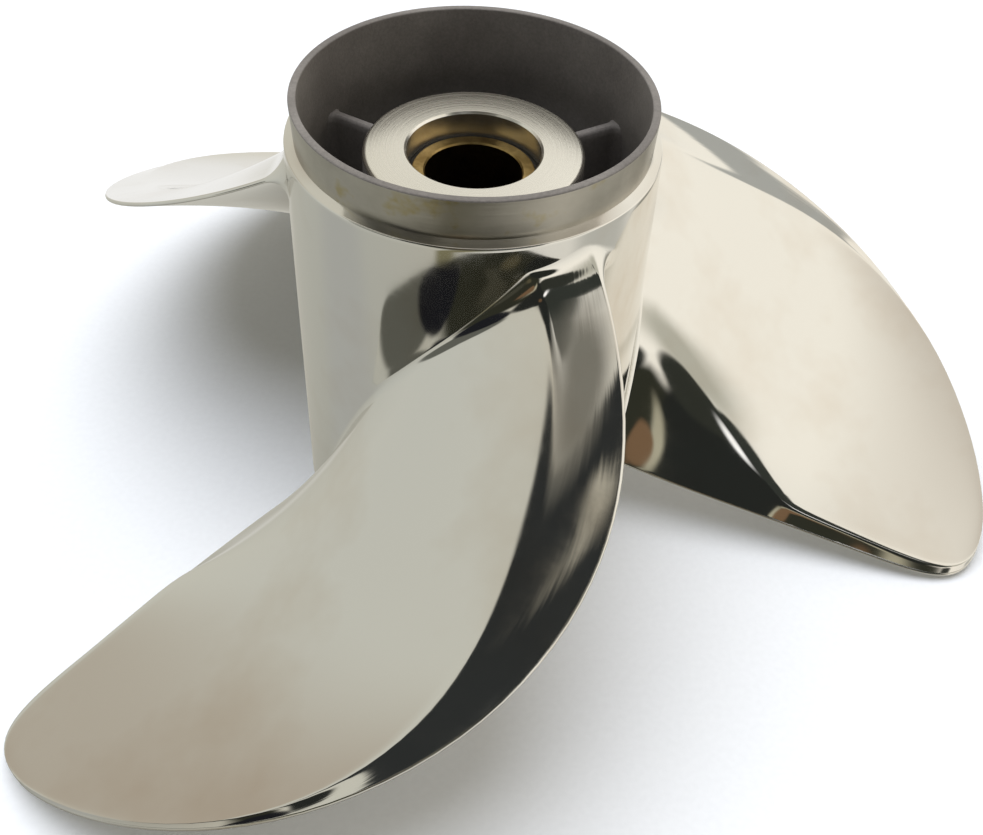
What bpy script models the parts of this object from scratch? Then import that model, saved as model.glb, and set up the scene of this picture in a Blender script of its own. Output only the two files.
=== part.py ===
"""Three-blade through-hub propeller, right-handed, standing with its forward end up.

The shaft axis is Z and +Z is forward. The origin is the centre of mass, on the shaft axis.
Heights in the tables below are measured in millimetres down from the forward rim of the barrel.
"""
import math

import bmesh
import bpy
from mathutils import Vector

MM = 0.001
BLADES = 3
SEAM = 0.3
ROOT_SEAM = 0.5
ORIGIN_BELOW_RIM = 75.0

# Barrel
BARREL_LENGTH = 145.0
SPIGOT_RADIUS = 51.7
SPIGOT_FOOT_RADIUS = 51.1
SPIGOT_LENGTH = 12.2
SPIGOT_BORE_RADIUS = 49.4
SHOULDER_RADIUS = 53.9
SHOULDER_DROP = 0.9
BARREL_END_RADIUS = 54.9
BARREL_END_WALL = 2.6
BARREL_WALL = 3.2
RIM_CHAMFER = 0.4
BORE_STEP_START = 16.2
BORE_STEP_END = 32.2
BARREL_SIDES = 72

# Inner hub, and the three ribs that carry it
HUB_FACE_DEPTH = 17.9
HUB_RADIUS = 32.2
HUB_EDGE_ROUND = 1.3
HUB_EDGE_STEPS = 4
HUB_BORE_RADIUS = 19.6
HUB_BORE_CHAMFER = 0.6
HUB_END_DEPTH = 108.0
HUB_SIDES = 60
RIB_TOP_DEPTH = 22.7
RIB_END_DEPTH = 104.0
RIB_ANGLES = (30.0, 150.0, 270.0)
# Half the rib's thickness at shares of the way from the hub out to the barrel.
RIB_HALF_THICKNESS = ((0.0, 3.6), (0.12, 2.4), (0.25, 2.0), (0.70, 2.0), (0.88, 3.0), (1.0, 6.0))

# Rubber bushing and brass sleeve
SLEEVE_FACE_DEPTH = 25.2
SLEEVE_FLANGE_RADIUS = 18.2
SLEEVE_FLANGE_LENGTH = 3.0
SLEEVE_RADIUS = 16.4
SLEEVE_MOUTH_RADIUS = 14.3
SLEEVE_MOUTH_LENGTH = 9.0
SLEEVE_END_DEPTH = 102.0
SPLINE_TEETH = 15
SPLINE_ROOT_RADIUS = 14.0
SPLINE_TIP_RADIUS = 12.9
POINTS_PER_TOOTH = 4
BUSHING_FACE_DEPTH = 25.9
BUSHING_END_DEPTH = 97.0

# Blade: angles in degrees about the shaft, and lengths in millimetres.
# The outline has five stations from root to tip, spaced so that it rounds off at the tip.
TIP_RADIUS = 182.3
LEADING_EDGE_ANGLES = (-51.0, -67.0, -85.9, -110.7, -129.9)
TRAILING_EDGE_ANGLES = (-144.1, -141.4, -139.9, -138.1, -129.9)
# The after face is a screw surface of one pitch, whose rake line leans aft towards the tip.
PITCH = 388.6
RAKE_LINE_ANGLE = -100.3
RAKE_ROOT_DEPTH = 76.9
RAKE_TIP_DEPTH = 104.8
# How far that face bows out of the screw surface at root, half span and tip, in mm a radian.
BOWS = (8.0, -3.4, -2.0)
# The forward face lies a thickness away, thinned towards each edge.
ROOT_THICKNESS = 9.5
TIP_THICKNESS = 2.6
EDGE_THICKNESS = 1.4
LEADING_BAND = 21.0
LEADING_BAND_TAPER = 0.55
LEADING_BAND_TAPER_START = 0.45
TRAILING_BAND_SHARE = 0.42
# Both faces flare into the barrel with a fillet, which has its own rows at these heights.
ROOT_FILLET = 6.0
FILLET_ROW_HEIGHTS = (1.0, 2.6, 4.6)
SPAN_STEPS = 22
CHORD_STEPS = 20
FOOT_STEPS = 4
SHORTEST_CHORD = 0.01


def clear_scene():
    for obj in list(bpy.data.objects):
        bpy.data.objects.remove(obj, do_unlink=True)


def make_material(name, colour, metallic, roughness):
    material = bpy.data.materials.new(name)
    material.use_nodes = True
    shader = material.node_tree.nodes["Principled BSDF"]
    shader.inputs["Base Color"].default_value = (*colour, 1.0)
    shader.inputs["Metallic"].default_value = metallic
    shader.inputs["Roughness"].default_value = roughness
    material.diffuse_color = (*colour, 1.0)
    return material


def height(depth):
    """The Z of a depth below the forward rim, in millimetres from the origin."""
    return ORIGIN_BELOW_RIM - depth


def add_object(name, mesh, material, smooth_angle=30.0):
    for face in mesh.polygons:
        face.use_smooth = True
    mesh.set_sharp_from_angle(angle=math.radians(smooth_angle))
    mesh.materials.append(material)
    obj = bpy.data.objects.new(name, mesh)
    bpy.context.scene.collection.objects.link(obj)
    return obj


def mesh_from_bmesh(name, bm):
    bmesh.ops.recalc_face_normals(bm, faces=bm.faces)
    mesh = bpy.data.meshes.new(name)
    bm.to_mesh(mesh)
    bm.free()
    return mesh


def turned_mesh(name, profile, sides):
    """Spin a closed profile of (radius, depth) pairs about the shaft."""
    bm = bmesh.new()
    points = [bm.verts.new((radius * MM, 0.0, height(depth) * MM)) for radius, depth in profile]
    edges = [bm.edges.new((points[i - 1], points[i])) for i in range(len(points))]
    bmesh.ops.spin(
        bm,
        geom=points + edges,
        cent=(0.0, 0.0, 0.0),
        axis=(0.0, 0.0, 1.0),
        angle=math.tau,
        steps=sides,
        use_merge=True,
        use_duplicate=False,
    )
    bmesh.ops.remove_doubles(bm, verts=bm.verts, dist=1e-6)
    return mesh_from_bmesh(name, bm)


def barrel_radius(depth):
    """Outside of the barrel behind its shoulder, a slight cone."""
    shoulder_depth = SPIGOT_LENGTH + SHOULDER_DROP
    part = (depth - shoulder_depth) / (BARREL_LENGTH - shoulder_depth)
    return SHOULDER_RADIUS + (BARREL_END_RADIUS - SHOULDER_RADIUS) * part


def barrel_bore_radius(depth):
    """Inside of the barrel: the spigot's bore, then a short step out to the barrel's wall."""
    if depth <= BORE_STEP_START:
        return SPIGOT_BORE_RADIUS
    inner = barrel_radius(BORE_STEP_END) - BARREL_WALL
    if depth <= BORE_STEP_END:
        part = (depth - BORE_STEP_START) / (BORE_STEP_END - BORE_STEP_START)
        return SPIGOT_BORE_RADIUS + (inner - SPIGOT_BORE_RADIUS) * part
    end = BARREL_END_RADIUS - BARREL_END_WALL
    part = (depth - BORE_STEP_END) / (BARREL_LENGTH - BORE_STEP_END)
    return inner + (end - inner) * part


def make_barrel(material):
    profile = [
        (SPIGOT_BORE_RADIUS, RIM_CHAMFER),
        (SPIGOT_BORE_RADIUS + RIM_CHAMFER, 0.0),
        (SPIGOT_RADIUS - RIM_CHAMFER, 0.0),
        (SPIGOT_RADIUS, RIM_CHAMFER),
        (SPIGOT_FOOT_RADIUS, SPIGOT_LENGTH),
        (SHOULDER_RADIUS, SPIGOT_LENGTH + SHOULDER_DROP),
        (BARREL_END_RADIUS, BARREL_LENGTH),
        (barrel_bore_radius(BARREL_LENGTH), BARREL_LENGTH),
        (barrel_bore_radius(BORE_STEP_END), BORE_STEP_END),
        (barrel_bore_radius(BORE_STEP_START), BORE_STEP_START),
    ]
    mesh = turned_mesh("outer_barrel", profile, BARREL_SIDES)
    return add_object("outer_barrel", mesh, material)


def make_inner_hub(material):
    profile = [
        (HUB_BORE_RADIUS, HUB_FACE_DEPTH + HUB_BORE_CHAMFER),
        (HUB_BORE_RADIUS + HUB_BORE_CHAMFER, HUB_FACE_DEPTH),
    ]
    for step in range(HUB_EDGE_STEPS + 1):
        angle = math.pi / 2.0 * (1.0 - step / HUB_EDGE_STEPS)
        profile.append((
            HUB_RADIUS - HUB_EDGE_ROUND * (1.0 - math.cos(angle)),
            HUB_FACE_DEPTH + HUB_EDGE_ROUND * (1.0 - math.sin(angle)),
        ))
    profile.append((HUB_RADIUS, HUB_END_DEPTH))
    profile.append((HUB_BORE_RADIUS, HUB_END_DEPTH))
    mesh = turned_mesh("inner_hub", profile, HUB_SIDES)
    return add_object("inner_hub", mesh, material)


def make_bushing(material):
    outer = HUB_BORE_RADIUS - SEAM
    lip_end = SLEEVE_FACE_DEPTH + SLEEVE_FLANGE_LENGTH + SEAM
    profile = [
        (SLEEVE_FLANGE_RADIUS + SEAM, BUSHING_FACE_DEPTH),
        (outer, BUSHING_FACE_DEPTH),
        (outer, BUSHING_END_DEPTH),
        (SLEEVE_RADIUS + SEAM, BUSHING_END_DEPTH),
        (SLEEVE_RADIUS + SEAM, lip_end),
        (SLEEVE_FLANGE_RADIUS + SEAM, lip_end),
    ]
    mesh = turned_mesh("rubber_bushing", profile, HUB_SIDES)
    return add_object("rubber_bushing", mesh, material)


def make_sleeve(material):
    flange_end = SLEEVE_FACE_DEPTH + SLEEVE_FLANGE_LENGTH
    spline_start = SLEEVE_FACE_DEPTH + SLEEVE_MOUTH_LENGTH
    sides = SPLINE_TEETH * POINTS_PER_TOOTH

    def tooth_radius(index):
        return SPLINE_TIP_RADIUS if index % POINTS_PER_TOOTH in (1, 2) else SPLINE_ROOT_RADIUS

    rings = (
        (lambda i: SLEEVE_MOUTH_RADIUS, SLEEVE_FACE_DEPTH),
        (lambda i: SLEEVE_FLANGE_RADIUS, SLEEVE_FACE_DEPTH),
        (lambda i: SLEEVE_FLANGE_RADIUS, flange_end),
        (lambda i: SLEEVE_RADIUS, flange_end),
        (lambda i: SLEEVE_RADIUS, SLEEVE_END_DEPTH),
        (tooth_radius, SLEEVE_END_DEPTH),
        (tooth_radius, spline_start),
        (lambda i: SLEEVE_MOUTH_RADIUS, spline_start),
    )
    bm = bmesh.new()
    loops = []
    for radius_of, depth in rings:
        loop = []
        for index in range(sides):
            angle = math.tau * index / sides
            radius = radius_of(index) * MM
            place = (radius * math.cos(angle), radius * math.sin(angle), height(depth) * MM)
            loop.append(bm.verts.new(place))
        loops.append(loop)
    for ring in range(len(loops)):
        one = loops[ring - 1]
        two = loops[ring]
        for index in range(sides):
            bm.faces.new((one[index - 1], one[index], two[index], two[index - 1]))
    mesh = mesh_from_bmesh("splined_sleeve", bm)
    return add_object("splined_sleeve", mesh, material)


def make_rib(number, angle_deg, material):
    """A thin web from the hub to the barrel, flared where it meets each."""
    depths = (RIB_TOP_DEPTH, BORE_STEP_END, RIB_END_DEPTH)
    bm = bmesh.new()
    levels = []
    for depth in depths:
        inner = HUB_RADIUS + SEAM
        outer = barrel_bore_radius(depth) - SEAM
        flank = []
        for share, side in RIB_HALF_THICKNESS:
            radius = inner + (outer - inner) * share
            flank.append((math.sqrt(radius * radius - side * side), side))
        other_flank = [(x, -y) for x, y in reversed(flank)]
        outline = flank + [(outer, 0.0)] + other_flank + [(inner, 0.0)]
        level = [bm.verts.new((x * MM, y * MM, height(depth) * MM)) for x, y in outline]
        levels.append(level)
    bm.faces.new(levels[0])
    bm.faces.new(reversed(levels[-1]))
    for upper, lower in zip(levels, levels[1:]):
        for index in range(len(upper)):
            bm.faces.new((upper[index - 1], upper[index], lower[index], lower[index - 1]))
    bmesh.ops.triangulate(bm, faces=[face for face in bm.faces if len(face.verts) > 4])
    name = "exhaust_rib_%d" % number
    mesh = mesh_from_bmesh(name, bm)
    obj = add_object(name, mesh, material)
    obj.rotation_euler = (0.0, 0.0, math.radians(angle_deg))
    return obj


def through_stations(values, part):
    """The smooth curve through evenly spaced stations, read at part 0 to 1 of its length."""
    last = len(values) - 1
    total = 0.0
    for i, value in enumerate(values):
        weight = 1.0
        for j in range(len(values)):
            if j != i:
                weight *= (part * last - j) / (i - j)
        total += value * weight
    return total


def span_part(step):
    """Share of the blade's height at a step: the stations close up towards the rounded tip."""
    return math.sin(math.pi * step / 2.0)


def blade_edges(step):
    """The angles of the leading and trailing edges, in radians."""
    leading = math.radians(through_stations(LEADING_EDGE_ANGLES, step))
    trailing = math.radians(through_stations(TRAILING_EDGE_ANGLES, step))
    return leading, trailing


def blade_radius(step, depth):
    root = barrel_radius(depth) + ROOT_SEAM
    return root + (TIP_RADIUS - root) * span_part(step)


def after_face(step, chord):
    """The angle and depth of the after face: chord 0 is the trailing edge and 1 the leading."""
    span = span_part(step)
    leading, trailing = blade_edges(step)
    sweep = leading - trailing
    angle = trailing + sweep * chord
    depth = RAKE_ROOT_DEPTH + (RAKE_TIP_DEPTH - RAKE_ROOT_DEPTH) * span
    depth -= PITCH / math.tau * (angle - math.radians(RAKE_LINE_ANGLE))
    depth -= through_stations(BOWS, span) * sweep * 4.0 * chord * (1.0 - chord)
    return angle, depth


def thinning(distance, band):
    """From 0 at an edge to 1 where its band ends, level with the rest of the face there."""
    return 1.0 - max(0.0, 1.0 - distance / band) ** 2


def blade_thickness(step, chord, radius):
    span = span_part(step)
    leading, trailing = blade_edges(step)
    length = (leading - trailing) * radius
    if length < SHORTEST_CHORD:
        return EDGE_THICKNESS
    taper = max(0.0, (span - LEADING_BAND_TAPER_START) / (1.0 - LEADING_BAND_TAPER_START))
    leading_band = min(LEADING_BAND * (1.0 - LEADING_BAND_TAPER * taper), 0.5 * length)
    trailing_band = TRAILING_BAND_SHARE * length
    most = ROOT_THICKNESS + (TIP_THICKNESS - ROOT_THICKNESS) * span ** 0.7
    fullness = thinning((1.0 - chord) * length, leading_band) * thinning(chord * length, trailing_band)
    return EDGE_THICKNESS + (most - EDGE_THICKNESS) * fullness


def root_flare(step):
    """How far each face stands out to meet the barrel: a quarter circle above its skin."""
    rise = span_part(step) * (TIP_RADIUS - SHOULDER_RADIUS)
    if rise >= ROOT_FILLET:
        return 0.0
    return ROOT_FILLET - math.sqrt(ROOT_FILLET ** 2 - (ROOT_FILLET - rise) ** 2)


def skin_offsets(step, chord):
    """How far the skin on the after side and on the forward side lies from the after face."""
    angle, depth = after_face(step, chord)
    thickness = blade_thickness(step, chord, blade_radius(step, depth))
    flare = root_flare(step)
    return -flare, thickness + flare


def blade_point(step, chord, across):
    """A point from the after side, across 0, to the forward side, 1, square to the screw."""
    low, high = skin_offsets(step, chord)
    offset = low + (high - low) * across
    angle, depth = after_face(step, chord)
    radius = blade_radius(step, depth)
    screw = PITCH / math.tau
    slant = math.hypot(screw, radius)
    angle -= offset * screw / (slant * radius)
    depth -= offset * radius / slant
    radius = blade_radius(step, depth)
    return Vector((radius * math.cos(angle), radius * math.sin(angle), height(depth)))


def blade_rows():
    """Steps from the root up to just short of the tip, with the fillet's own rows first."""
    steps = [0.0]
    for rise in FILLET_ROW_HEIGHTS:
        steps.append(math.asin(rise / (TIP_RADIUS - SHOULDER_RADIUS)) * 2.0 / math.pi)
    for i in range(1, SPAN_STEPS):
        steps.append(i / SPAN_STEPS)
    return steps


def make_blade(number, material):
    """A lofted blade: two faces, the edge between them, and a foot that follows the barrel."""
    steps = blade_rows()
    bm = bmesh.new()

    def add_row(step, across):
        row = []
        for j in range(CHORD_STEPS + 1):
            chord = 0.5 - 0.5 * math.cos(math.pi * j / CHORD_STEPS)
            row.append(bm.verts.new(blade_point(step, chord, across) * MM))
        return row

    def add_strips(rows):
        for one, two in zip(rows, rows[1:]):
            for j in range(CHORD_STEPS):
                bm.faces.new((one[j], one[j + 1], two[j + 1], two[j]))

    after = [add_row(step, 0.0) for step in steps]
    forward = [add_row(step, 1.0) for step in steps]
    foot = [add_row(0.0, i / FOOT_STEPS) for i in range(1, FOOT_STEPS)]
    foot = [after[0]] + foot + [forward[0]]
    for rows in (after, forward, foot):
        add_strips(rows)
    tips = []
    for rows, across in ((after, 0.0), (forward, 1.0)):
        tip = bm.verts.new(blade_point(1.0, 0.5, across) * MM)
        for j in range(CHORD_STEPS):
            bm.faces.new((rows[-1][j], rows[-1][j + 1], tip))
        tips.append(tip)
    for side in (0, CHORD_STEPS):
        bm.faces.new([row[side] for row in foot] + [forward[1][side], after[1][side]])
        for i in range(1, len(steps) - 1):
            bm.faces.new((after[i][side], after[i + 1][side], forward[i + 1][side], forward[i][side]))
        bm.faces.new((after[-1][side], tips[0], tips[1], forward[-1][side]))
    bmesh.ops.triangulate(bm, faces=bm.faces)
    name = "blade_%d" % number
    mesh = mesh_from_bmesh(name, bm)
    obj = add_object(name, mesh, material, smooth_angle=40.0)
    obj.rotation_euler = (0.0, 0.0, math.tau * (number - 1) / BLADES)
    return obj


def main():
    clear_scene()
    polished = make_material("polished_stainless_steel", (0.62, 0.60, 0.57), 1.0, 0.16)
    turned = make_material("turned_stainless_steel", (0.66, 0.64, 0.61), 1.0, 0.28)
    cast = make_material("as_cast_stainless_steel", (0.12, 0.11, 0.10), 0.8, 0.6)
    rubber = make_material("black_rubber", (0.02, 0.02, 0.02), 0.0, 0.7)
    brass = make_material("brass", (0.60, 0.44, 0.18), 1.0, 0.3)
    make_barrel(polished)
    make_inner_hub(turned)
    for number, angle in enumerate(RIB_ANGLES, start=1):
        make_rib(number, angle, cast)
    make_bushing(rubber)
    make_sleeve(brass)
    for number in range(1, BLADES + 1):
        make_blade(number, polished)


main()
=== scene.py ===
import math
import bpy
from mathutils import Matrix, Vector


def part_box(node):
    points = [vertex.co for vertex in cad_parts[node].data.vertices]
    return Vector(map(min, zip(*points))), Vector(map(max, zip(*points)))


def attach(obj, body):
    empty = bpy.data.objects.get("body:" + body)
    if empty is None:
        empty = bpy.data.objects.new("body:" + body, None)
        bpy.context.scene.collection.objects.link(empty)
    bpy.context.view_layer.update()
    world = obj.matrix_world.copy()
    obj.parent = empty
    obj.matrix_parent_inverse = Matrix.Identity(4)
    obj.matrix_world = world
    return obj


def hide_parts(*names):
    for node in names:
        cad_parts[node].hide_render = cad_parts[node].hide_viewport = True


bl_info = {
    "name": "Through-hub propeller",
    "version": (1, 0, 0),
    "blender": (4, 5, 0),
    "location": "3D View > Sidebar > Propeller",
    "description": "Polished three-blade casting with its turned hub, exhaust ribs, rubber and brass sleeve",
    "category": "Object",
}

import bmesh
import bpy
from bpy.props import FloatProperty, FloatVectorProperty, IntProperty, PointerProperty
from bpy.types import Operator, Panel, PropertyGroup
from mathutils import Matrix, Vector

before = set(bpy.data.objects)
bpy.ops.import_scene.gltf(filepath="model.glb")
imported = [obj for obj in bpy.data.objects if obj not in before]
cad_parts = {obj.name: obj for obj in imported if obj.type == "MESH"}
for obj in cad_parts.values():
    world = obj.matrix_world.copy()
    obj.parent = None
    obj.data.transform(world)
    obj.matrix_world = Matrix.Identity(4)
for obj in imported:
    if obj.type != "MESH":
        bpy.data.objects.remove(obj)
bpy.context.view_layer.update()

MM = 0.001
BODY = "root"
THIRD = math.tau / 3.0
MERGE = 0.00002

# Heights and radii that the frame gives
RIM_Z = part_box("outer_barrel")[1][2]
BARREL_LENGTH = RIM_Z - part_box("outer_barrel")[0][2]
BARREL_END_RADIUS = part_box("outer_barrel")[1][0]
HUB_FACE_DEPTH = RIM_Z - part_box("inner_hub")[1][2]
HUB_END_DEPTH = RIM_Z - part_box("inner_hub")[0][2]
HUB_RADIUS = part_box("inner_hub")[1][0]
SLEEVE_FACE_DEPTH = RIM_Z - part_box("splined_sleeve")[1][2]
SLEEVE_END_DEPTH = RIM_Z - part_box("splined_sleeve")[0][2]
BUSHING_FACE_DEPTH = RIM_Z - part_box("rubber_bushing")[1][2]
BUSHING_END_DEPTH = RIM_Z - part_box("rubber_bushing")[0][2]
RIB_TOP_DEPTH = RIM_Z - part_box("exhaust_rib_1")[1][2]
RIB_END_DEPTH = RIM_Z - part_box("exhaust_rib_1")[0][2]


def linear_colour(text):
    """Linear red, green and blue of an sRGB hex colour."""
    channels = []
    for start in (1, 3, 5):
        value = int(text[start:start + 2], 16) / 255.0
        channels.append(value / 12.92 if value <= 0.04045 else ((value + 0.055) / 1.055) ** 2.4)
    return tuple(channels)


def size_property(label, text, millimetres):
    return FloatProperty(name=label, description=text, default=millimetres * MM, unit="LENGTH", precision=5)


def angle_property(label, text, degrees):
    return FloatProperty(name=label, description=text, default=math.radians(degrees), unit="ROTATION")


def colour_property(label, text, colour):
    return FloatVectorProperty(
        name=label, description=text, default=linear_colour(colour), subtype="COLOR", size=3, min=0.0, max=1.0
    )


class PropellerBarrel(PropertyGroup):
    spigot_radius: size_property("Spigot radius", "Outside of the forward spigot at its rim", 51.7)
    spigot_foot: size_property("Spigot foot radius", "Outside of the spigot at the shoulder", 51.1)
    spigot_length: size_property("Spigot length", "From the forward rim to the shoulder", 12.2)
    spigot_bore: size_property("Spigot bore radius", "Inside of the forward rim", 49.4)
    shoulder_radius: size_property("Shoulder radius", "Outside of the barrel behind the shoulder", 53.9)
    shoulder_drop: size_property("Shoulder drop", "How far the shoulder's bright band falls", 0.9)
    wall: size_property("Wall", "Thickness of the barrel's wall behind the spigot", 3.2)
    end_wall: size_property("Rear wall", "Thickness of the wall at the rear rim", 2.6)
    bore_step_start: size_property("Bore step start", "Depth at which the bore starts to widen", 16.2)
    bore_step_end: size_property("Bore step end", "Depth at which the bore has its full width", 32.2)
    rim_round: size_property("Rim rounding", "Radius worn on the edges of the rims", 0.45)


class PropellerBlade(PropertyGroup):
    tip_radius: size_property("Tip radius", "From the shaft axis to the blade's tip", 182.2)
    leading_angles: FloatVectorProperty(
        name="Leading edge",
        description="Angle about the shaft at five stations from root to tip",
        size=5,
        default=tuple(math.radians(a) for a in (-51.0, -67.0, -85.9, -110.7, -129.9)),
        unit="ROTATION",
    )
    trailing_angles: FloatVectorProperty(
        name="Trailing edge",
        description="Angle about the shaft at five stations from root to tip",
        size=5,
        default=tuple(math.radians(a) for a in (-144.1, -141.4, -139.9, -138.1, -129.9)),
        unit="ROTATION",
    )
    pitch: size_property("Pitch", "Advance of the after face in one turn", 388.6)
    rake_line: angle_property("Rake line", "Angle about the shaft at which the rake is measured", -100.3)
    rake_root: size_property("Rake at root", "Depth of the rake line at the barrel", 76.9)
    rake_tip: size_property("Rake at tip", "Depth of the rake line at the tip", 104.8)
    bows: FloatVectorProperty(
        name="Bow",
        description="How far the after face bows out of its screw at root, half span and tip, a radian",
        size=3,
        default=(8.0 * MM, -3.4 * MM, -2.0 * MM),
        unit="LENGTH",
    )
    root_thickness: size_property("Root thickness", "Greatest thickness at the barrel", 9.5)
    tip_thickness: size_property("Tip thickness", "Greatest thickness near the tip", 2.6)
    edge_thickness: size_property("Edge thickness", "Thickness of the rounded edges", 1.4)
    leading_bands: FloatVectorProperty(
        name="Leading band",
        description="Width of the hollow-ground band along the leading edge, at seven stations out to the tip",
        size=7,
        default=tuple(width * MM for width in (11.0, 14.1, 18.8, 22.1, 18.8, 7.3, 1.5)),
        unit="LENGTH",
    )
    leading_hollow: FloatProperty(
        name="Leading hollow", description="How much flatter than its mean slope the band is at the edge", default=0.3
    )
    leading_crest: FloatProperty(
        name="Leading crest", description="Softness of the leading band's crest, as a share of the band", default=0.13
    )
    ridge_root: FloatProperty(
        name="Ridge at root", description="Share of the chord from the trailing edge to the ridge", default=0.34
    )
    ridge_fall: FloatProperty(
        name="Ridge fall", description="Share of the chord that the ridge loses over half the span", default=0.345
    )
    ridge_tip: FloatProperty(
        name="Ridge at tip", description="Share of the chord that the ridge keeps from the edge", default=0.022
    )
    ridge_crest: FloatProperty(
        name="Ridge crest", description="Softness of the ridge, as a share of its distance from the edge", default=0.28
    )
    nose_fillet: size_property("Nose fillet", "Radius of the root fillet at the leading edge", 7.5)
    root_fillet: size_property("Root fillet", "Radius of the root fillet behind the nose", 1.8)
    nose_reach: FloatProperty(
        name="Nose reach", description="Share of the chord over which the nose fillet dies out", default=0.38
    )
    bevel_steps: IntProperty(name="Bevel steps", description="Faces from the trailing edge to the ridge", default=12)
    face_steps: IntProperty(name="Face steps", description="Faces from the ridge to the leading band", default=26)
    band_steps: IntProperty(name="Band steps", description="Faces across the leading band", default=16)
    edge_steps: IntProperty(name="Edge steps", description="Faces round each edge of a blade", default=12)
    fillet_steps: IntProperty(name="Fillet steps", description="Faces up the root fillet", default=8)
    collar_steps: IntProperty(
        name="Collar steps", description="Faces from the blades' ends to the level rings", default=8
    )
    span_steps: IntProperty(name="Span steps", description="Faces from the fillet to the tip", default=44)
    gap_steps: IntProperty(name="Gap steps", description="Faces across the barrel between blades", default=55)


class PropellerCore(PropertyGroup):
    hub_bore: size_property("Hub bore radius", "Inside of the hub tube", 19.6)
    hub_round: size_property("Hub edge rounding", "Radius on the hub face's outer edge", 1.3)
    hub_chamfer: size_property("Hub bore chamfer", "Bright chamfer round the recess", 0.6)
    flange_radius: size_property("Sleeve flange radius", "Outside of the sleeve's flange", 18.2)
    flange_length: size_property("Sleeve flange length", "Thickness of the sleeve's flange", 3.0)
    sleeve_radius: size_property("Sleeve radius", "Outside of the sleeve behind its flange", 16.4)
    mouth_radius: size_property("Sleeve mouth radius", "Plain bore ahead of the splines", 14.3)
    mouth_length: size_property("Sleeve mouth length", "Length of the plain bore", 24.0)
    spline_root: size_property("Spline root radius", "Bottom of the grooves between the teeth", 14.0)
    spline_tip: size_property("Spline tip radius", "Top of the teeth", 12.9)
    spline_teeth: IntProperty(name="Spline teeth", description="Teeth in the sleeve's bore", default=15)
    sleeve_edge: size_property("Sleeve edge", "Chamfer on the sleeve's edges", 0.45)
    rib_thickness: size_property("Rib thickness", "Thickness of a rib between its flares", 3.0)
    rib_overlap: size_property("Rib overlap", "How far a rib runs into the hub and the barrel", 0.4)
    rib_turn: angle_property("First rib", "Angle about the shaft of the first rib", 30.0)
    rib_hub_flare: FloatProperty(
        name="Flare at hub", description="What a rib gains each side at the hub, in thicknesses", default=0.4
    )
    rib_barrel_flare: FloatProperty(
        name="Flare at barrel", description="What a rib gains each side at the barrel, in thicknesses", default=1.1
    )


class PropellerFinish(PropertyGroup):
    polished: colour_property("Polished steel", "Hand-polished stainless steel", "#e6e4df")
    polish_cloud: colour_property("Dried polish", "Warm clouds on the polished steel", "#dcd5cb")
    machined: colour_property("Machined steel", "Satin turned surface of the spigot", "#b3aea4")
    turned: colour_property("Turned steel", "Bright lathe-turned hub face", "#faf7f0")
    cast: colour_property("As-cast steel", "Blasted surface inside the barrel", "#85807b")
    cast_shade: colour_property("As-cast shade", "Its darker clouds", "#706b67")
    rubber: colour_property("Rubber", "Black moulded rubber", "#161412")
    brass: colour_property("Brass", "Machined brass, slightly dulled", "#bfa46e")
    # Painted shade: a dark brass for the deep splined bore, standing in for the shade that falls inside it
    painted_bore_shade: colour_property("Brass with painted bore shade", "Dark painted shade in the splined bore", "#5a4a30")


# The studio as the steel mirrors it. A place on its dome is given in degrees from straight up, first
# to the right and then away from the camera. Each oval has its centre, its half widths, its turn in
# degrees, how soft its edge is as a share of them, and its colour.
STUDIO_OVALS = (
    # Pale wall behind and low, a dimmer ceiling, and the grey floor at both sides
    ((-20.0, 100.0), (34.0, 16.0), 0.0, 0.5, "#e0e0df"),
    ((14.0, 14.0), (26.0, 20.0), 0.0, 0.35, "#c4bdb2"),
    ((-48.0, 40.0), (12.0, 14.0), 0.0, 0.7, "#a69e91"),
    ((45.0, 53.0), (9.0, 9.5), 0.0, 0.2, "#a2a39f"),
    ((54.0, -34.0), (20.0, 18.0), 0.0, 0.5, "#aeaca0"),
    ((-130.0, -10.0), (12.0, 52.0), 0.0, 0.6, "#9fa09c"),
    ((100.0, 70.0), (22.0, 30.0), -30.0, 0.5, "#8f8d84"),
    ((120.0, -5.0), (14.0, 45.0), 0.0, 0.5, "#aeada6"),
    # Low in front: an olive wall, a grey cloth with a black card on it, and dark corners
    ((0.0, -88.0), (54.0, 29.0), 0.0, 0.12, "#2c2d25"),
    ((-68.0, -50.0), (22.0, 26.0), 20.0, 0.1, "#5a5b55"),
    ((-52.0, -66.0), (13.0, 23.0), 0.0, 0.08, "#1b1c20"),
    ((-2.0, -103.0), (17.0, 6.0), 0.0, 0.3, "#3f3f36"),
    ((50.0, -82.0), (14.0, 18.0), 0.0, 0.1, "#232522"),
    ((18.0, -94.0), (9.0, 5.0), 0.0, 0.4, "#4f4b3a"),
    ((-30.0, -121.0), (42.0, 5.0), 6.0, 0.5, "#716d55"),
    # The black card over the camera, and a lamp and a brown strip on it
    ((-2.0, -48.0), (40.0, 26.0), 0.0, 0.06, "#232523"),
    ((32.0, -50.0), (17.0, 13.0), 0.0, 0.12, "#2d2f2a"),
    ((20.0, -30.0), (16.0, 16.0), 0.0, 0.08, "#30332f"),
    ((-28.0, -5.0), (20.0, 15.0), -25.0, 0.1, "#2a2c2c"),
    ((17.0, -42.0), (9.0, 3.0), 0.0, 0.6, "#ffffff"),
    ((-15.0, -42.0), (7.0, 4.0), 0.0, 0.3, "#5d4a38"),
    # Smoky grey on the card, with a pale streak
    ((0.0, -16.0), (18.0, 6.0), 6.0, 0.5, "#74726a"),
    ((-26.5, -6.0), (6.0, 1.1), -34.0, 0.5, "#a39e90"),
    # A pale strip and brown floor below the card
    ((0.0, -73.0), (20.0, 2.5), 4.0, 0.4, "#a39f8b"),
    ((-8.0, -79.0), (15.0, 5.0), 4.0, 0.15, "#6e5741"),
)
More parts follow.
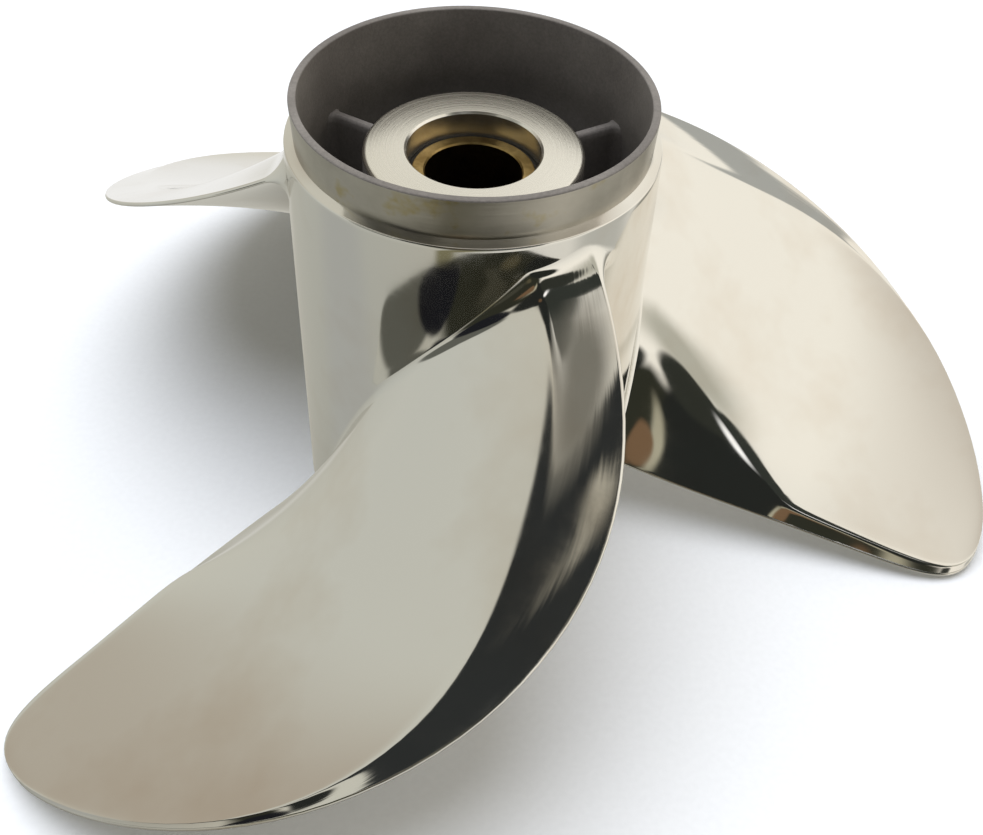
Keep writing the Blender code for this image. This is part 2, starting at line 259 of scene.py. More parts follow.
# The walls from left to right, and how much of that is left from straight down to straight up
WALLS_ACROSS = ((0.0, "#b9bab3"), (0.2, "#bebdb3"), (0.35, "#c0bdb1"), (0.55, "#d4d2ca"), (0.8, "#ece8de"))
WALLS_UP = ((0.0, "#8a8a88"), (0.15, "#d9dadb"), (0.35, "#f4f5f6"), (0.5, "#ffffff"))


def height(depth):
    return RIM_Z - depth


def place(radius, angle, depth):
    return Vector((radius * math.cos(angle), radius * math.sin(angle), height(depth)))


def barrel_radius(barrel, depth):
    """Outside of the barrel behind its shoulder, a slight cone."""
    start = barrel.spigot_length + barrel.shoulder_drop
    share = (depth - start) / (BARREL_LENGTH - start)
    return barrel.shoulder_radius + (BARREL_END_RADIUS - barrel.shoulder_radius) * share


def through_stations(values, share):
    """The smooth curve through evenly spaced stations, read at share 0 to 1 of its length."""
    last = len(values) - 1
    total = 0.0
    for i, value in enumerate(values):
        weight = 1.0
        for j in range(len(values)):
            if j != i:
                weight *= (share * last - j) / (i - j)
        total += value * weight
    return total


def ramp(distance, band, crest, hollow):
    """From 0 at an edge up to 1 where its band ends, hollow ground and with a softly rounded crest."""
    share = max(distance, 0.0) / band
    top = 1.0 - crest
    if share >= 1.0 + crest:
        return 1.0
    steep = 1.0 + hollow
    if share <= top:
        return share * (1.0 - hollow * (1.0 - share / top)) * (1.0 - steep * crest) / top
    return 1.0 - steep * (1.0 + crest - share) ** 2 / (4.0 * crest)


class Section:
    """One section of a blade, on the cylinder that lies rise above the barrel."""

    def __init__(self, barrel, blade, rise):
        self.barrel = barrel
        self.blade = blade
        self.span = min(rise / (blade.tip_radius - barrel.shoulder_radius), 1.0)
        step = math.asin(self.span) * 2.0 / math.pi
        self.leading = through_stations(blade.leading_angles, step)
        self.trailing = through_stations(blade.trailing_angles, step)
        self.sweep = max(self.leading - self.trailing, 0.0)
        self.radius = self.radius_at(self.after_depth(0.5))
        self.length = self.sweep * self.radius
        self.true_length = self.sweep * math.hypot(self.radius, blade.pitch / math.tau)
        self.edge = min(0.5 * blade.edge_thickness, 0.5 * self.true_length)
        band = through_stations(blade.leading_bands, self.span)
        self.leading_band = min(max(band, 1.0 * MM), 0.5 * self.length)
        fall = blade.ridge_root - 2.0 * blade.ridge_fall * self.span - blade.ridge_tip
        self.trailing_band = (blade.ridge_tip + 0.5 * (fall + math.hypot(fall, 0.03))) * self.length
        fullness = self.span ** 0.7
        self.most = blade.root_thickness + (blade.tip_thickness - blade.root_thickness) * fullness

    def radius_at(self, depth):
        root = barrel_radius(self.barrel, depth)
        return root + (self.blade.tip_radius - root) * self.span

    def after_depth(self, chord):
        """Depth of the after face: chord 0 is the trailing edge and 1 the leading edge."""
        blade = self.blade
        angle = self.trailing + self.sweep * chord
        depth = blade.rake_root + (blade.rake_tip - blade.rake_root) * self.span
        depth -= blade.pitch / math.tau * (angle - blade.rake_line)
        bow = through_stations(blade.bows, self.span)
        return depth - bow * self.sweep * 4.0 * chord * (1.0 - chord)

    def thickness(self, chord):
        """Full between the ridge and the leading band's crest, thin at both edges."""
        blade = self.blade
        if self.length <= 0.0:
            return blade.edge_thickness
        inset = self.edge / self.true_length * self.length
        from_leading = (1.0 - chord) * self.length - inset
        from_trailing = chord * self.length - inset
        leading = ramp(from_leading, self.leading_band, blade.leading_crest, blade.leading_hollow)
        trailing = ramp(from_trailing, self.trailing_band, blade.ridge_crest, 0.0)
        return blade.edge_thickness + (self.most - blade.edge_thickness) * leading * trailing

    def point(self, chord, offset):
        """Radius, angle and depth of a point that lies offset ahead of the after face."""
        angle = self.trailing + self.sweep * chord
        depth = self.after_depth(chord)
        screw = self.blade.pitch / math.tau
        slant = math.hypot(screw, self.radius)
        angle -= offset * screw / (slant * self.radius)
        depth -= offset * self.radius / slant
        return self.radius_at(depth), angle, depth

    def flat_share(self, zone, share):
        """Share of the way between the rounded edges: zone 0 is the bevel, 1 the face, 2 the band."""
        if self.length <= 4.0 * self.edge:
            return (zone + share) / 3.0
        flat = self.length * (1.0 - 2.0 * self.edge / self.true_length)
        stops = (0.0, self.trailing_band / flat, 1.0 - self.leading_band / flat, 1.0)
        return stops[zone] + (stops[zone + 1] - stops[zone]) * share

    def on_side(self, zone, share, forward, flare):
        """A point of the forward or the after face, from the trailing edge over to the leading one."""
        inset = self.edge / self.true_length if self.true_length > 0.0 else 0.5
        chord = inset + (1.0 - 2.0 * inset) * self.flat_share(zone, share)
        return self.point(chord, self.thickness(chord) + flare if forward else -flare)

    def on_edge(self, turn, flare):
        """A point of a rounded edge: the leading one up to half a turn, then the trailing one."""
        half = 0.5 * self.blade.edge_thickness
        inset = self.edge / self.true_length if self.true_length > 0.0 else 0.5
        reach = (self.edge + flare) / self.true_length if self.true_length > 0.0 else 0.0
        middle = 1.0 - inset if turn < math.pi else inset
        return self.point(middle + reach * math.sin(turn), half + (half + flare) * math.cos(turn))


def start_clean():
    if bpy.context.object and bpy.context.object.mode != "OBJECT":
        bpy.ops.object.mode_set(mode="OBJECT")
    bpy.ops.object.select_all(action="DESELECT")


def wrapped_sheet(name, rows):
    """A grid laid through rows of radius, angle and depth; its own UV map runs along and across it."""
    across = len(rows[0]) - 1
    along = len(rows) - 1
    start_clean()
    bpy.ops.mesh.primitive_grid_add(x_subdivisions=across, y_subdivisions=along, size=1.0, calc_uvs=True)
    sheet = bpy.context.object
    sheet.name = name
    for vertex in sheet.data.vertices:
        i = round((vertex.co.x + 0.5) * across)
        j = round((vertex.co.y + 0.5) * along)
        vertex.co = place(*rows[j][i])
    return sheet


def turned_copies(obj, count):
    """The piece and its copies, evenly turned about the shaft, each with its own mesh."""
    pieces = [obj]
    for i in range(1, count):
        copy = obj.copy()
        copy.data = obj.data.copy()
        bpy.context.scene.collection.objects.link(copy)
        copy.rotation_euler.z = math.tau * i / count
        pieces.append(copy)
    start_clean()
    for piece in pieces:
        piece.select_set(True)
    bpy.context.view_layer.objects.active = obj
    bpy.ops.object.transform_apply()
    return pieces


def join_pieces(name, pieces):
    start_clean()
    for piece in pieces:
        piece.select_set(True)
    bpy.context.view_layer.objects.active = pieces[0]
    bpy.ops.object.join()
    joined = bpy.context.object
    joined.name = name
    joined.data.name = name
    return joined


def select_edges(obj, test):
    """In edit mode, selects the edges that pass a test and nothing else."""
    bpy.ops.mesh.select_mode(type="EDGE")
    bpy.ops.mesh.select_all(action="DESELECT")
    mesh = bmesh.from_edit_mesh(obj.data)
    for edge in mesh.edges:
        if test(edge):
            edge.select_set(True)
    bmesh.update_edit_mesh(obj.data)


def middle_height(edge):
    return 0.5 * (edge.verts[0].co.z + edge.verts[1].co.z)


def flatten_ring(obj, radius, depth):
    """Brings the selected ring level and exactly round."""
    mesh = bmesh.from_edit_mesh(obj.data)
    for vertex in mesh.verts:
        if vertex.select:
            angle = math.atan2(vertex.co.y, vertex.co.x)
            vertex.co = place(radius, angle, depth)
    bmesh.update_edit_mesh(obj.data)


def extrude_rings(obj, profile):
    """Draws the selected ring out through a profile of (radius, depth) pairs."""
    for radius, depth in profile:
        bpy.ops.mesh.extrude_region_move()
        flatten_ring(obj, radius, depth)


def turned_ring(name, profile, corners):
    """A piece turned about the shaft: a circle drawn out through a closed profile."""
    start_clean()
    bpy.ops.mesh.primitive_circle_add(vertices=corners, radius=profile[0][0], fill_type="NOTHING")
    piece = bpy.context.object
    piece.name = name
    piece.data.name = name
    bpy.ops.object.mode_set(mode="EDIT")
    bpy.ops.mesh.select_all(action="SELECT")
    flatten_ring(piece, *profile[0])
    extrude_rings(piece, profile[1:] + profile[:1])
    bpy.ops.object.mode_set(mode="OBJECT")
    finish_mesh(piece)
    return piece


def rounded_corner(radius, depth, radius_step, depth_step, start_turn, steps=4):
    """A quarter circle of a profile, as (radius, depth) pairs, about the corner's own centre."""
    pairs = []
    for i in range(steps + 1):
        turn = start_turn + math.pi / 2.0 * i / steps
        pairs.append((radius + radius_step * math.cos(turn), depth + depth_step * math.sin(turn)))
    return pairs


def finish_mesh(obj, smooth_angle=35.0):
    """Merges doubles, turns the faces outward and shades smooth up to an angle."""
    start_clean()
    obj.select_set(True)
    bpy.context.view_layer.objects.active = obj
    bpy.ops.object.mode_set(mode="EDIT")
    bpy.ops.mesh.select_all(action="SELECT")
    bpy.ops.mesh.remove_doubles(threshold=MERGE)
    bpy.ops.mesh.normals_make_consistent(inside=False)
    bpy.ops.object.mode_set(mode="OBJECT")
    bpy.ops.object.shade_smooth_by_angle(angle=math.radians(smooth_angle))


def hand_over(obj, slot, *nodes):
    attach(obj, BODY)
    if nodes:
        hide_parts(*nodes)


def new_material(name):
    material = bpy.data.materials.new(name)
    material.use_nodes = True
    return material, material.node_tree.nodes["Principled BSDF"]


def add_node(owner, kind, inputs=None, **settings):
    """Adds a node. An input takes a value or another node's socket; stops fill a colour ramp."""
    tree = owner.node_tree
    node = tree.nodes.new(kind)
    for name, value in settings.items():
        if name == "stops":
            elements = node.color_ramp.elements
            while len(elements) < len(value):
                elements.new(0.5)
            for element, (position, colour) in zip(elements, value):
                element.position = position
                element.color = (*linear_colour(colour), 1.0)
        else:
            setattr(node, name, value)
    for key, value in (inputs or {}).items():
        if isinstance(value, bpy.types.NodeSocket):
            tree.links.new(value, node.inputs[key])
        else:
            node.inputs[key].default_value = value
    return node


def polished_steel(finish):
    """Cast stainless steel, ground and then mirror-polished by hand on a soft wheel.

    The eye gets a nearly clear mirror that wanders where the wheel pressed, long soft drag marks
    along the leading band, faint warm clouds of dried polish and a few small casting pits."""
    material, shader = new_material("polished_stainless_steel")
    shader.inputs["Metallic"].default_value = 1.0
    spot = add_node(material, "ShaderNodeTexCoord").outputs["Object"]
    mark = add_node(material, "ShaderNodeAttribute", attribute_name="blade_place").outputs["Vector"]
    parts = add_node(material, "ShaderNodeSeparateXYZ", {"Vector": mark})
    # Clouds of dried polish, 60 mm across
    cloud = add_node(
        material, "ShaderNodeTexNoise", {"Vector": spot, "Scale": 1.0 / 0.06, "Detail": 4.0, "Roughness": 0.6}
    )
    cloudy = add_node(
        material, "ShaderNodeMapRange", {"Value": cloud.outputs["Fac"], "From Min": 0.48, "From Max": 0.75}
    )
    tint = add_node(
        material,
        "ShaderNodeMix",
        {"Factor": cloudy.outputs["Result"], "A": (*finish.polished, 1.0), "B": (*finish.polish_cloud, 1.0)},
        data_type="RGBA",
    )
    # Casting pits, 0.5 mm wide and some 22 mm apart, in one cell out of six; their near-black colour is painted shade
    # in the hollows
    pits = add_node(material, "ShaderNodeTexVoronoi", {"Vector": spot, "Scale": 1.0 / 0.022})
    chance = add_node(material, "ShaderNodeSeparateColor", {"Color": pits.outputs["Color"]})
    rare = add_node(
        material, "ShaderNodeMath", {0: chance.outputs["Red"], 1: 0.84}, operation="GREATER_THAN"
    )
    near = add_node(
        material, "ShaderNodeMapRange", {"Value": pits.outputs["Distance"], "From Min": 0.026, "From Max": 0.01}
    )
    pit = add_node(
        material, "ShaderNodeMath", {0: near.outputs["Result"], 1: rare.outputs[0]}, operation="MULTIPLY"
    )
    # The pits' near-black colour: painted shade in each hollow
    colour = add_node(
        material,
        "ShaderNodeMix",
        {"Factor": pit.outputs[0], "A": tint.outputs["Result"], "B": (*linear_colour("#33302b"), 1.0)},
        data_type="RGBA",
    )
    material.node_tree.links.new(colour.outputs["Result"], shader.inputs["Base Color"])
    # Wiping smears, 15 mm wide, that dull the mirror a little
    smear = add_node(
        material,
        "ShaderNodeTexNoise",
        {"Vector": spot, "Scale": 1.0 / 0.015, "Detail": 5.0, "Roughness": 0.65, "Distortion": 0.8},
    )
    dull = add_node(
        material,
        "ShaderNodeMapRange",
        {"Value": smear.outputs["Fac"], "From Min": 0.35, "From Max": 0.75, "To Min": 0.045, "To Max": 0.11},
    )
    material.node_tree.links.new(dull.outputs["Result"], shader.inputs["Roughness"])
    # The wheel's broad waves, 32 mm long and under 0.1 mm deep
    waves = add_node(
        material, "ShaderNodeTexNoise", {"Vector": spot, "Scale": 1.0 / 0.032, "Detail": 1.5, "Roughness": 0.4}
    )
    waved = add_node(material, "ShaderNodeBump", {"Height": waves.outputs["Fac"], "Distance": 0.06 * MM})
    # Drag marks along the leading band: 2 mm wide across it and ten times as long
    stretch = add_node(material, "ShaderNodeCombineXYZ", {"X": parts.outputs["X"], "Y": parts.outputs["Y"]})
    drag = add_node(
        material, "ShaderNodeVectorMath", {0: stretch.outputs["Vector"], 1: (7.0, 5.0, 1.0)}, operation="MULTIPLY"
    )
    drags = add_node(
        material, "ShaderNodeTexNoise", {"Vector": drag.outputs["Vector"], "Scale": 1.0, "Detail": 2.0}
    )
    inside = add_node(
        material, "ShaderNodeMapRange", {"Value": parts.outputs["X"], "From Min": 1.0, "From Max": 0.8}
    )
    dragged = add_node(
        material,
        "ShaderNodeBump",
        {
            "Strength": inside.outputs["Result"],
            "Height": drags.outputs["Fac"],
            "Distance": 0.02 * MM,
            "Normal": waved.outputs["Normal"],
        },
    )
    pitted = add_node(
        material,
        "ShaderNodeBump",
        {"Height": pit.outputs[0], "Distance": 0.2 * MM, "Normal": dragged.outputs["Normal"]},
        invert=True,
    )
    material.node_tree.links.new(pitted.outputs["Normal"], shader.inputs["Normal"])
    return material


def machined_steel(finish):
    """Stainless steel left from the lathe tool: the forward spigot and the rear rim.

    The eye gets a satin sheen drawn out round the part, fine level tool lines and olive stains."""
    material, shader = new_material("machined_stainless_steel")
    shader.inputs["Metallic"].default_value = 1.0
    shader.inputs["Anisotropic"].default_value = 0.3
    shader.inputs["Anisotropic Rotation"].default_value = 0.25
    spot = add_node(material, "ShaderNodeTexCoord").outputs["Object"]
    stain = add_node(
        material, "ShaderNodeTexNoise", {"Vector": spot, "Scale": 1.0 / 0.018, "Detail": 4.0, "Roughness": 0.6}
    )
    tint = add_node(
        material,
        "ShaderNodeValToRGB",
        {"Fac": stain.outputs["Fac"]},
        stops=((0.3, "#8b877e"), (0.48, "#aaa69c"), (0.6, "#b4b0a6"), (0.68, "#a8995f")),
    )
    mixed = add_node(
        material,
        "ShaderNodeMix",
        {"Factor": 0.6, "A": (*finish.machined, 1.0), "B": tint.outputs["Color"]},
        data_type="RGBA",
    )
    material.node_tree.links.new(mixed.outputs["Result"], shader.inputs["Base Color"])
    # Tool lines, drawn 0.5 mm apart where the real feed is finer than the render can show
    flat = add_node(
        material, "ShaderNodeVectorMath", {0: spot, 1: (60.0, 60.0, 2000.0)}, operation="MULTIPLY"
    )
    lines = add_node(
        material, "ShaderNodeTexNoise", {"Vector": flat.outputs["Vector"], "Scale": 1.0, "Detail": 2.0}
    )
    rough = add_node(
        material,
        "ShaderNodeMapRange",
        {"Value": lines.outputs["Fac"], "From Min": 0.3, "From Max": 0.7, "To Min": 0.28, "To Max": 0.36},
    )
    material.node_tree.links.new(rough.outputs["Result"], shader.inputs["Roughness"])
    bump = add_node(material, "ShaderNodeBump", {"Height": lines.outputs["Fac"], "Distance": 0.005 * MM})
    material.node_tree.links.new(bump.outputs["Normal"], shader.inputs["Normal"])
    return material


def turned_steel(finish):
    """Stainless steel faced on a lathe: the hub's front and its recess.

    The eye gets rings of fine grooves, which pull each light out into a bright radial fan."""
    material, shader = new_material("turned_stainless_steel")
    shader.inputs["Metallic"].default_value = 1.0
    shader.inputs["Anisotropic"].default_value = 0.8
    shader.inputs["Anisotropic Rotation"].default_value = 0.25
    spot = add_node(material, "ShaderNodeTexCoord").outputs["Object"]
    level = add_node(
        material, "ShaderNodeVectorMath", {0: spot, 1: (1.0, 1.0, 0.0)}, operation="MULTIPLY"
    )
    radius = add_node(material, "ShaderNodeVectorMath", {0: level.outputs["Vector"]}, operation="LENGTH")
    # Grooves, drawn 0.7 mm apart where the real ones are about 0.2 mm
    grooves = add_node(
        material,
        "ShaderNodeTexNoise",
        {"W": radius.outputs["Value"], "Scale": 1.0 / 0.0007, "Detail": 3.0, "Roughness": 0.7},
        noise_dimensions="1D",
    )
    tint = add_node(
        material,
        "ShaderNodeMapRange",
        {"Value": grooves.outputs["Fac"], "From Min": 0.3, "From Max": 0.7, "To Min": 0.93, "To Max": 1.0},
    )
    shade = add_node(
        material,
        "ShaderNodeMix",
        {"Factor": 1.0, "A": (*finish.turned, 1.0), "B": tint.outputs["Result"]},
        data_type="RGBA",
        blend_type="MULTIPLY",
    )
    material.node_tree.links.new(shade.outputs["Result"], shader.inputs["Base Color"])
    rough = add_node(
        material,
        "ShaderNodeMapRange",
        {"Value": grooves.outputs["Fac"], "From Min": 0.3, "From Max": 0.7, "To Min": 0.2, "To Max": 0.3},
    )
    material.node_tree.links.new(rough.outputs["Result"], shader.inputs["Roughness"])
    bump = add_node(material, "ShaderNodeBump", {"Height": grooves.outputs["Fac"], "Distance": 0.02 * MM})
    material.node_tree.links.new(bump.outputs["Normal"], shader.inputs["Normal"])
    return material


def as_cast_steel(finish):
    """Stainless steel as it came from a ceramic mould and was blasted: the bore, forward rim, ribs and hub tube.

    The eye gets a dull warm grey with a fine even grain and slightly darker clouds."""
    material, shader = new_material("as_cast_stainless_steel")
    shader.inputs["Metallic"].default_value = 0.12
    spot = add_node(material, "ShaderNodeTexCoord").outputs["Object"]
    cloud = add_node(
        material, "ShaderNodeTexNoise", {"Vector": spot, "Scale": 1.0 / 0.03, "Detail": 5.0, "Roughness": 0.6}
    )
    cloudy = add_node(
        material, "ShaderNodeMapRange", {"Value": cloud.outputs["Fac"], "From Min": 0.35, "From Max": 0.65}
    )
    tint = add_node(
        material,
        "ShaderNodeMix",
        {"Factor": cloudy.outputs["Result"], "A": (*finish.cast_shade, 1.0), "B": (*finish.cast, 1.0)},
        data_type="RGBA",
    )
    # Blasted grain, 0.9 mm
    grain = add_node(
        material, "ShaderNodeTexNoise", {"Vector": spot, "Scale": 1.0 / 0.0009, "Detail": 3.0, "Roughness": 0.7}
    )
    speck = add_node(
        material,
        "ShaderNodeMapRange",
        {"Value": grain.outputs["Fac"], "From Min": 0.3, "From Max": 0.7, "To Min": 0.82, "To Max": 1.12},
    )
    shade = add_node(
        material,
        "ShaderNodeMix",
        {"Factor": 1.0, "A": tint.outputs["Result"], "B": speck.outputs["Result"]},
        data_type="RGBA",
        blend_type="MULTIPLY",
    )
    material.node_tree.links.new(shade.outputs["Result"], shader.inputs["Base Color"])
    rough = add_node(
        material, "ShaderNodeMapRange", {"Value": grain.outputs["Fac"], "To Min": 0.45, "To Max": 0.75}
    )
    material.node_tree.links.new(rough.outputs["Result"], shader.inputs["Roughness"])
    bump = add_node(
        material, "ShaderNodeBump", {"Strength": 0.6, "Height": grain.outputs["Fac"], "Distance": 0.12 * MM}
    )
    material.node_tree.links.new(bump.outputs["Normal"], shader.inputs["Normal"])
    return material


def moulded_rubber(finish):
    """Black rubber moulded round the brass sleeve: matt, with a dusty bloom."""
    material, shader = new_material("moulded_rubber")
    spot = add_node(material, "ShaderNodeTexCoord").outputs["Object"]
    # Bloom in patches of 4 mm
    bloom = add_node(
        material, "ShaderNodeTexNoise", {"Vector": spot, "Scale": 1.0 / 0.004, "Detail": 4.0, "Roughness": 0.6}
    )
    tint = add_node(
        material,
        "ShaderNodeMix",
        {"Factor": bloom.outputs["Fac"], "A": (*finish.rubber, 1.0), "B": (*linear_colour("#2c2925"), 1.0)},
        data_type="RGBA",
    )
    material.node_tree.links.new(tint.outputs["Result"], shader.inputs["Base Color"])
    shader.inputs["Roughness"].default_value = 0.62
    bump = add_node(material, "ShaderNodeBump", {"Height": bloom.outputs["Fac"], "Distance": 0.05 * MM})
    material.node_tree.links.new(bump.outputs["Normal"], shader.inputs["Normal"])
    return material


def machined_brass(name, colour, shade, roughness):
    """Brass bored and faced on a lathe, with tool rings and brown tarnish in soft patches."""
    material, shader = new_material(name)
    shader.inputs["Metallic"].default_value = 1.0
    shader.inputs["Anisotropic"].default_value = 0.4
    spot = add_node(material, "ShaderNodeTexCoord").outputs["Object"]
    # Tarnish, 6 mm across
    tarnish = add_node(
        material, "ShaderNodeTexNoise", {"Vector": spot, "Scale": 1.0 / 0.006, "Detail": 4.0, "Roughness": 0.6}
    )
    patchy = add_node(
        material, "ShaderNodeMapRange", {"Value": tarnish.outputs["Fac"], "From Min": 0.4, "From Max": 0.68}
    )
    tint = add_node(
        material,
        "ShaderNodeMix",
        {"Factor": patchy.outputs["Result"], "A": (*colour, 1.0), "B": (*linear_colour(shade), 1.0)},
        data_type="RGBA",
    )
    material.node_tree.links.new(tint.outputs["Result"], shader.inputs["Base Color"])
    rough = add_node(
        material,
        "ShaderNodeMapRange",
        {"Value": tarnish.outputs["Fac"], "To Min": roughness - 0.08, "To Max": roughness + 0.1},
    )
    material.node_tree.links.new(rough.outputs["Result"], shader.inputs["Roughness"])
    # Tool rings, drawn 0.4 mm apart
    flat = add_node(
        material, "ShaderNodeVectorMath", {0: spot, 1: (80.0, 80.0, 2500.0)}, operation="MULTIPLY"
    )
    rings = add_node(
        material, "ShaderNodeTexNoise", {"Vector": flat.outputs["Vector"], "Scale": 1.0, "Detail": 2.0}
    )
    bump = add_node(material, "ShaderNodeBump", {"Height": rings.outputs["Fac"], "Distance": 0.012 * MM})
    material.node_tree.links.new(bump.outputs["Normal"], shader.inputs["Normal"])
    return material


class PROPELLER_OT_casting(Operator):
    """Models the barrel and its three blades as one filleted casting"""

    bl_idname = "propeller.casting"
    bl_label = "Barrel and Blades"

    def execute(self, context):
        barrel = context.scene.propeller_barrel
        blade = context.scene.propeller_blade
        lean = math.atan2(blade.pitch / math.tau, barrel.shoulder_radius)
        self.wrap = round(blade.edge_steps * (0.5 - lean / math.pi))
        self.side = blade.bevel_steps + blade.face_steps + blade.band_steps
        rows = self.blade_rows(barrel, blade)
        gap = self.gap_rows(barrel, blade, rows[0])
        third = join_pieces("propeller_casting", [
            wrapped_sheet("blade_skin", rows),
            wrapped_sheet("barrel_gap", gap),
            wrapped_sheet("front_collar", self.front_collar(barrel, blade, rows[0], gap[0])),
            wrapped_sheet("rear_collar", self.rear_collar(barrel, blade, rows[0], gap[-1])),
        ])
        self.mark_blade(third, barrel, blade)
        casting = join_pieces("propeller_casting", turned_copies(third, 3))
        bpy.ops.object.mode_set(mode="EDIT")
        bpy.ops.mesh.select_all(action="SELECT")
        bpy.ops.mesh.remove_doubles(threshold=MERGE)
        self.draw_out_front(casting, barrel)
        self.draw_out_rear(casting, barrel)
        bpy.ops.object.mode_set(mode="OBJECT")
        finish_mesh(casting)
        self.paint(casting, context.scene.propeller_finish, barrel)
        hand_over(casting, "polished_steel", "outer_barrel", "blade_1", "blade_2", "blade_3")
        return {"FINISHED"}

    def outline_places(self, blade):
        """Once round a blade: along the forward face, the leading edge, the after face, the trailing edge.

        A place on a face has its zone, its share of that zone and whether it is forward; one on an edge
        has its turn. Both crests keep a row of corners of their own, with closer rows beside it."""
        across = []
        for zone, steps in enumerate((blade.bevel_steps, blade.face_steps, blade.band_steps)):
            for i in range(steps):
                across.append((zone, 0.5 - 0.5 * math.cos(math.pi * i / steps)))
        across.append((2, 1.0))
        places = [(zone, share, True, None) for zone, share in across]
        for i in range(1, blade.edge_steps):
            places.append((2, 1.0, None, math.pi * i / blade.edge_steps))
        places += [(zone, share, False, None) for zone, share in reversed(across)]
        for i in range(1, blade.edge_steps + 1):
            places.append((0, 0.0, None, math.pi * (1.0 + i / blade.edge_steps)))
        return places

    def blade_rows(self, barrel, blade):
        """Rows of outlines: up the root fillet first, then out to the tip."""
        reach = blade.tip_radius - barrel.shoulder_radius
        root = Section(barrel, blade, 0.0)
        rows = []
        for i in range(blade.fillet_steps + blade.span_steps + 1):
            row = []
            for zone, share, forward, turn in self.outline_places(blade):
                dying = max(0.0, 1.0 - (1.0 - root.flat_share(zone, share)) / blade.nose_reach)
                fillet = blade.root_fillet + (blade.nose_fillet - blade.root_fillet) * dying ** 1.5
                if i < blade.fillet_steps:
                    climb = math.pi / 2.0 * i / blade.fillet_steps
                    rise = fillet * (1.0 - math.cos(climb))
                    flare = fillet * (1.0 - math.sin(climb))
                else:
                    first = math.asin(fillet / reach)
                    outward = (i - blade.fillet_steps) / blade.span_steps
                    rise = reach * math.sin(first + (math.pi / 2.0 - first) * outward)
                    flare = 0.0
                section = Section(barrel, blade, rise)
                if forward is None:
                    row.append(section.on_edge(turn, flare))
                else:
                    row.append(section.on_side(zone, share, forward, flare))
            rows.append(row)
        return rows

    def gap_rows(self, barrel, blade, foot):
        """The barrel's skin from one blade's after side round to the next one's forward side."""
        side = self.side
        edge = blade.edge_steps
        after = foot[side + edge - self.wrap:2 * side + edge + 1]
        forward = foot[side::-1] + foot[-2:-2 - self.wrap:-1]
        rows = []
        for (_, start, start_depth), (_, end, end_depth) in zip(after, forward):
            row = []
            for i in range(blade.gap_steps + 1):
                share = i / blade.gap_steps
                depth = start_depth + (end_depth - start_depth) * share
                angle = start + (end + THIRD - start) * share
                row.append((barrel_radius(barrel, depth), angle, depth))
            rows.append(row)
        return rows

    def collar(self, barrel, blade, edge, depth):
        """From an uneven edge to a level ring, whose corners end up evenly spaced."""
        steps = len(edge) - 1
        middle = sum(point[1] - THIRD * i / steps for i, point in enumerate(edge)) / len(edge)
        middle = THIRD / steps * round(middle * steps / THIRD)
        rows = []
        for j in range(blade.collar_steps + 1):
            share = j / blade.collar_steps
            row = []
            for i, (_, angle, start) in enumerate(edge):
                even = middle + THIRD * i / steps
                place_depth = start + (depth - start) * share
                row.append((barrel_radius(barrel, place_depth), angle + (even - angle) * share, place_depth))
            rows.append(row)
        return rows

    def front_collar(self, barrel, blade, foot, first_gap):
        edge = foot[self.side:self.side + blade.edge_steps - self.wrap] + first_gap
        return self.collar(barrel, blade, edge, barrel.spigot_length + barrel.shoulder_drop + barrel.rim_round)

    def rear_collar(self, barrel, blade, foot, last_gap):
        end = 2 * self.side + blade.edge_steps
        edge = foot[-1 - self.wrap:end:-1] + last_gap
        return self.collar(barrel, blade, edge, BARREL_LENGTH - barrel.rim_round)

    def mark_blade(self, third, barrel, blade):
        """Stores each point's distance from the leading edge, in band widths, and its share of the span."""
        marks = third.data.attributes.new("blade_place", "FLOAT_VECTOR", "POINT")
        for vertex, mark in zip(third.data.vertices, marks.data):
            radius = math.hypot(vertex.co.x, vertex.co.y)
            rise = radius - barrel_radius(barrel, RIM_Z - vertex.co.z)
            section = Section(barrel, blade, max(rise, 0.0))
            angle = math.atan2(vertex.co.y, vertex.co.x)
            if angle > 0.5:
                angle -= math.tau
            if rise < 0.3 * MM:
                mark.vector = (9.0, 0.0, 0.0)
            elif section.leading_band > 0.0:
                distance = (section.leading - angle) * section.radius
                ridge = (angle - section.trailing) * section.radius / max(section.trailing_band, 1.0 * MM)
                mark.vector = (distance / section.leading_band, section.span, ridge)

    def draw_out_front(self, obj, barrel):
        """From the blades' forward ends to the shoulder, spigot, rim and bore."""
        middle = height(0.5 * BARREL_LENGTH)
        select_edges(obj, lambda edge: edge.is_boundary and middle_height(edge) > middle)
        shoulder_depth = barrel.spigot_length + barrel.shoulder_drop
        worn = barrel.rim_round
        profile = rounded_corner(barrel.shoulder_radius - worn, shoulder_depth + worn, worn, -worn, 0.0)[1:]
        profile.append((barrel.spigot_foot, barrel.spigot_length))
        profile += rounded_corner(barrel.spigot_radius - worn, worn, worn, -worn, 0.0)
        profile += rounded_corner(barrel.spigot_bore + worn, worn, -worn, -worn, 0.0)[::-1]
        profile.append((barrel.spigot_bore, barrel.bore_step_start))
        inner = barrel_radius(barrel, barrel.bore_step_end) - barrel.wall
        for i in range(1, 7):
            share = i / 6
            blend = share * share * (3.0 - 2.0 * share)
            depth = barrel.bore_step_start + (barrel.bore_step_end - barrel.bore_step_start) * share
            profile.append((barrel.spigot_bore + (inner - barrel.spigot_bore) * blend, depth))
        end = BARREL_END_RADIUS - barrel.end_wall
        profile += rounded_corner(end + worn, BARREL_LENGTH - worn, -worn, worn, 0.0)
        extrude_rings(obj, profile)

    def draw_out_rear(self, obj, barrel):
        """From the blades' after ends to the rear rim, then across it onto the bore's last corners."""
        middle = height(0.5 * BARREL_LENGTH)
        rim_inner = BARREL_END_RADIUS - 0.5 * barrel.end_wall

        def is_rear_ring(edge):
            outside = math.hypot(edge.verts[0].co.x, edge.verts[0].co.y) > rim_inner
            return edge.is_boundary and outside and middle_height(edge) < middle

